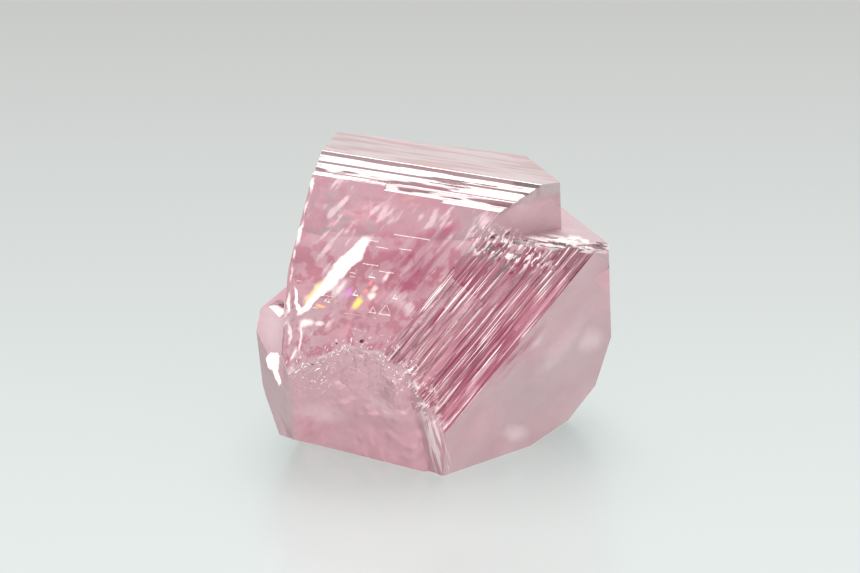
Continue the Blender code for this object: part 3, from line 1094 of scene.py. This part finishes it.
    def _lay_body(self, coat: Coat) -> None:
        """Lays the clouds of the body, the mottling of the front face, the softness of the others and their painted
        soft highlights.

        Args:
            coat: The coat that is built up.
        """
        sheet, zones = coat.sheet, coat.zones
        cloud = sheet.noise(zones.place, 0.6, 1.0)
        mottle = sheet.noise(zones.place, 2.2, 2.0)
        coat.lay(sheet.step(cloud, 0.38, 0.62), self.rose)
        coat.lay(zones.on_face, self.blush, share=0.45, cloudy=0.30)
        coat.lay(zones.on_face * sheet.step(mottle, 0.46, 0.60), self.dusty, share=0.85, cloudy=0.20)
        stroke = sheet.step(self._slanted(coat, 3.4, 1.0, 4.0), 0.53, 0.68)
        coat.lay(zones.on_face * stroke * sheet.step(cloud, 0.60, 0.45), self.frost, share=0.75, cloudy=0.40)
        high = sheet.step(sheet.dot(zones.plane, Vector((0, 1, 0))), 7.0, 8.4)
        coat.lay(zones.on_face * high, self.petal, share=0.45, cloudy=0.60)
        coat.lay(zones.side, self.side_pale, share=0.75, cloudy=0.50, rough=0.26)
        coat.lay(zones.side * sheet.step(mottle, 0.40, 0.70), self.side_tint, share=0.22)
        broken = sheet.step(zones.etched, 0.02, 0.10) * sheet.step(zones.etched, 1.6, 1.4)
        coat.lay(broken, self.side_tint, share=0.8, cloudy=0.35)
        coat.lay(broken, self.blush, share=0.35)
        # Painted highlights: soft white blobs of blurred light on the softer faces.
        soft = sheet.patches(zones.ragged, self.soft_highlight_patches)
        coat.lay(soft * zones.side, self.white, share=0.4, cloudy=0.5)
        grey_pink = sheet.step(self._lines(coat, FaceName.TOP, 3.0, 0.3), 0.46, 0.60)
        top = sheet.step(sheet.dot(zones.place, self.axes.normal(FaceName.TOP)), 9.6, 9.9)
        coat.lay(top, self.bone, share=0.7, cloudy=0.2)
        coat.lay(top * grey_pink, self.brown_pink, share=0.6)

    def _lay_diagonal(self, coat: Coat, fine: Wire) -> None:
        """Lays the deep colour and the dark lines of the diagonal band, and its white lines, partly frosted and partly
        painted glints.

        Args:
            coat: The coat that is built up.
            fine: The pattern of the band's fine lines.
        """
        sheet, zones = coat.sheet, coat.zones
        streaks = self._lines(coat, FaceName.RIGHT, 5.0, 0.6)
        coat.lay(zones.diagonal, self.plum, share=0.8, cloudy=0.60)
        coat.lay(zones.diagonal * sheet.step(streaks, 0.54, 0.66), self.petal, share=0.35)
        deep = sheet.patches(zones.ragged, self.deep_patches) * zones.facing
        coat.lay(deep * sheet.step(streaks, 0.75, 0.35), self.magenta, cloudy=0.55)
        coat.lay(sheet.step(fine, 0.42, 0.36) * zones.diagonal, self.wine, share=0.8, cloudy=0.25)
        # White lines, partly frosted and partly painted glints that glow.
        light = sheet.step(fine, 0.64, 0.68) * zones.diagonal
        coat.lay(light, self.white, share=0.85, cloudy=0.50, glow=self.glint_colour)

    def _lay_crown(self, coat: Coat, ruled: Wire) -> None:
        """Lays the brownish lines and the white lines of the upper band and of the shoulder; the white lines are partly
        frosted and partly a painted reflection of the light above, with a painted glint glow.

        Args:
            coat: The coat that is built up.
            ruled: The pattern of the upper band's lines.
        """
        sheet, zones = coat.sheet, coat.zones
        # Painted reflection: white lines where the treads mirror the light above, frosted and glowing.
        coat.lay(sheet.step(ruled, 0.36, 0.46) * zones.crown, self.white, cloudy=0.55, glow=self.glint_colour)
        coat.lay(sheet.step(ruled, 0.40, 0.34) * zones.crown, self.brown_pink, share=0.7, cloudy=0.2)
        # The shoulder's white ledges: painted glints, frosted and glowing.
        shoulder = sheet.grid(zones.plane, Vector((1.3, 0, 0)), Vector((1.0, 9.0, 0)))
        rule = sheet.step(sheet.noise(shoulder, 1.0, 2.0, True), 0.44, 0.54)
        shoulder_glints = sheet.patches(zones.ragged, self.shoulder_glint_patches) * rule
        coat.lay(shoulder_glints, self.white, share=0.9, cloudy=0.6, glow=self.glint_colour)

    def _lay_marks(self, coat: Coat) -> None:
        """Lays the small marks: frost, chips, rippled frost, dark specks, and the painted glints, glare, highlights and
        coloured sparks.

        Args:
            coat: The coat that is built up.
        """
        sheet, zones = coat.sheet, coat.zones
        coat.lay(sheet.maths("MULTIPLY", zones.etched, 0.35, True), self.frost)
        # Frosted crumbs by the notch and low on the front, partly frost and partly painted glints that glow.
        grit = sheet.step(self._slanted(coat, 9.0, 3.2, 3.0), 0.53, 0.60)
        crumb_glints = sheet.patches(zones.ragged, self.crumb_glint_patches) * grit * zones.facing
        coat.lay(crumb_glints, self.frost, share=0.9, cloudy=0.55, glow=self.glint_colour)
        # White ripples on the break's rim, partly frosted and partly painted glints that glow.
        waves = sheet.maths("SINE", sheet.noise(zones.plane, 1.2, 3.0, True) * 60.0)
        ripple_glints = sheet.patches(zones.ragged, self.ripple_glint_patches) * sheet.step(waves, 0.75, 0.95)
        ripple_glints = ripple_glints * sheet.step(grit, 0.0, 0.8) * zones.facing
        coat.lay(ripple_glints, self.white, share=0.9, cloudy=0.5, glow=self.glint_colour)
        flow = sheet.grid(zones.plane, Vector((7.0, 1.6, 0)), Vector((-0.1, 0.5, 0)))
        drip = sheet.patches(zones.plane, self.drip_patches)
        drip = drip * sheet.step(sheet.noise(flow, 1.0, 2.0, True), 0.48, 0.60)
        coat.lay(drip, self.frost, share=0.8, cloudy=0.55, rough=0.2)
        # Painted reflection: the white glare of light inside the front face, laid as white colour and glow.
        glare = sheet.patches(zones.ragged, self.glare_patches) * zones.on_face
        coat.lay(glare, self.white, glow=self.glare_colour)
        # The left rim: frosted, with painted glints glowing along it.
        edge = sheet.patches(zones.ragged, self.edge_glint_patches) * zones.on_face
        coat.lay(edge, self.frost, share=0.9, cloudy=0.4, glow=self.glint_colour)
        # Painted light: coloured sparks of dispersed light, laid as colour and a glow of the same colour.
        for patch, tint in self.sparks:
            coat.lay(sheet.patches(zones.ragged, (patch,)) * zones.on_face, tint, glow=tint)
        # Painted highlights: white glowing patches where facets would shine.
        bright = sheet.patches(zones.ragged, self.painted_highlight_patches) * zones.facing
        coat.lay(bright, self.white, glow=self.glare_colour)
        specks = sheet.patches(zones.plane, self.specks) * zones.facing
        coat.lay(specks, self.speck_colour, cloudy=0.9, rough=0.5)

    def _slanted(self, coat: Coat, across_scale: float, along_scale: float, detail: float) -> Wire:
        """Gives noise that is drawn out slantwise, up to the right.

        Args:
            coat: The coat that it is for.
            across_scale: How fine it is across the slant.
            along_scale: How fine it is along the slant.
            detail: How many finer layers it has.

        Returns:
            A value round 0.5.
        """
        along = Vector((math.cos(self.slant), math.sin(self.slant), 0.0))
        across = Vector((-math.sin(self.slant), math.cos(self.slant), 0.0))
        grid = coat.sheet.grid(coat.zones.plane, across * across_scale, along * along_scale)
        return coat.sheet.noise(grid, 1.0, detail, True)

    def _lines(self, coat: Coat, side: FaceName, across_scale: float, along_scale: float) -> Wire:
        """Gives lines along a band.

        Args:
            coat: The coat that they are for.
            side: The neighbour of the front face that the band leads to.
            across_scale: How close they are.
            along_scale: How short they are.

        Returns:
            A value round 0.5.
        """
        along, across, _ = self.axes.band(side)
        grid = coat.sheet.grid(coat.zones.place, across * across_scale, along * along_scale)
        return coat.sheet.noise(grid, 1.0, 2.0, True)


@dataclass(frozen=True)
class GlowingTableFinish:
    """A pale, slightly glossy table top that glows with painted light, brighter at the front and darker far behind."""

    near: tuple = (0.843, 0.939, 0.908)
    far: tuple = (0.335, 0.308, 0.292)
    near_at: float = -20.0
    far_at: float = 75.0
    grey: tuple = (0.10, 0.10, 0.10)
    roughness: float = 0.30
    index: float = 2.2
    glow: float = 0.535

    def build(self) -> bpy.types.Material:
        """Makes the material.

        Returns:
            The finished material.
        """
        sheet = NodeSheet("pale_glowing_table")
        raw = sheet.node("ShaderNodeTexCoord", None, None, "Object")
        depth = sheet.dot(raw, Vector((0, 1 / MM, 0)))
        # Painted light: the table glows brighter near the front and darker far behind.
        colour = sheet.blend(sheet.step(depth, self.near_at, self.far_at), self.near, self.far)
        sockets = {
            "Base Color": opaque(self.grey),
            "Roughness": self.roughness,
            "IOR": self.index,
            "Emission Color": colour,
            "Emission Strength": self.glow,
        }
        surface = sheet.node("ShaderNodeBsdfPrincipled", None, sockets)
        sheet.finish(surface)
        return sheet.material


@dataclass
class Studio:
    """The table, the soft lights and the camera."""

    anchor: Vector
    width: float = 0.02867
    distance: float = 0.45
    table_size: float = 0.6
    table_gap: float = 0.00003
    surround: tuple = (0.97, 1.0, 0.99)
    surround_strength: float = 0.68
    sensor: float = 36.0
    aim: tuple = (-0.433, 6.317, 0.0)

    def build(self) -> None:
        """Sets up everything round the stone."""
        self._table()
        self._world()
        self._soft_light("overhead_light", Vector((0.0, 0.06, 0.30)), 0.24, 1.6)
        self._soft_light("right_light", Vector((0.24, -0.26, 0.05)), 0.12, 0.90, glints=False)
        self._soft_light("front_light", Vector((0.03, -0.32, 0.03)), 0.20, 0.30)
        self._camera()

    def _table(self) -> None:
        """Lays the table top under the stone."""
        mesh = bmesh.new()
        bmesh.ops.create_grid(mesh, x_segments=4, y_segments=4, size=self.table_size / 2)
        bmesh.ops.translate(mesh, verts=mesh.verts, vec=(0, 0, -self.table_gap))
        table = as_object(mesh, "table_top")
        table.data.materials.append(GlowingTableFinish().build())

    def _world(self) -> None:
        """Surrounds the stone with an even pale light."""
        world = bpy.data.worlds.new("pale_surround")
        world.use_nodes = True
        back = world.node_tree.nodes["Background"]
        back.inputs["Color"].default_value = opaque(self.surround)
        back.inputs["Strength"].default_value = self.surround_strength
        bpy.context.scene.world = world

    def _soft_light(self, name: str, place: Vector, size: float, power: float, glints: bool = True) -> None:
        """Hangs a square soft light that faces the stone.

        Args:
            name: Its name.
            place: Where it hangs, in metres.
            size: Its side, in metres.
            power: Its power in watts.
            glints: Whether it shows in reflections; no light shows through the stone.
        """
        lamp = bpy.data.lights.new(name, "AREA")
        lamp.shape = "SQUARE"
        lamp.size = size
        lamp.energy = power
        item = bpy.data.objects.new(name, lamp)
        item.location = place
        item.rotation_euler = (-place).to_track_quat("-Z", "Y").to_euler()
        item.visible_transmission = False
        item.visible_glossy = glints
        bpy.context.scene.collection.objects.link(item)

    def _camera(self) -> None:
        """Places the camera at the photograph's angle."""
        lens = bpy.data.cameras.new("front_camera")
        lens.sensor_width = self.sensor
        lens.lens = self.sensor * self.distance / self.width
        lens.clip_start = 0.01
        lens.clip_end = 5.0
        item = bpy.data.objects.new("front_camera", lens)
        item.location = self.anchor + seen(*self.aim) * MM + TOWARD * self.distance
        item.rotation_euler = TOWARD.to_track_quat("Z", "Y").to_euler()
        bpy.context.scene.collection.objects.link(item)
        bpy.context.scene.camera = item


def main() -> None:
    """Builds the stone, its finish and the studio."""
    logging.basicConfig(level=logging.INFO, format="%(name)s: %(message)s")
    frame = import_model()
    node = frame["nodes"][NODE]
    axes = CrystalAxes()
    body = StoneBody(axes)
    stone = body.build(node)
    foot = lowest_front_corner([v.co for v in node.data.vertices], body.weld * MM / 2)
    finish = PinkCrystalFinish(axes, tuple(foot / MM))
    stone.data.materials.append(finish.build())
    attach(stone, BODY)
    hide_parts(NODE)
    log.info("stone: %d faces", len(stone.data.polygons))
    Studio(foot).build()
    bpy.context.scene.view_settings.view_transform = "Standard"
    cycles = bpy.context.scene.cycles
    cycles.max_bounces = 8
    cycles.transmission_bounces = 8
    cycles.glossy_bounces = 4
    cycles.diffuse_bounces = 1
    cycles.caustics_refractive = False


if __name__ == "__main__":
    main()
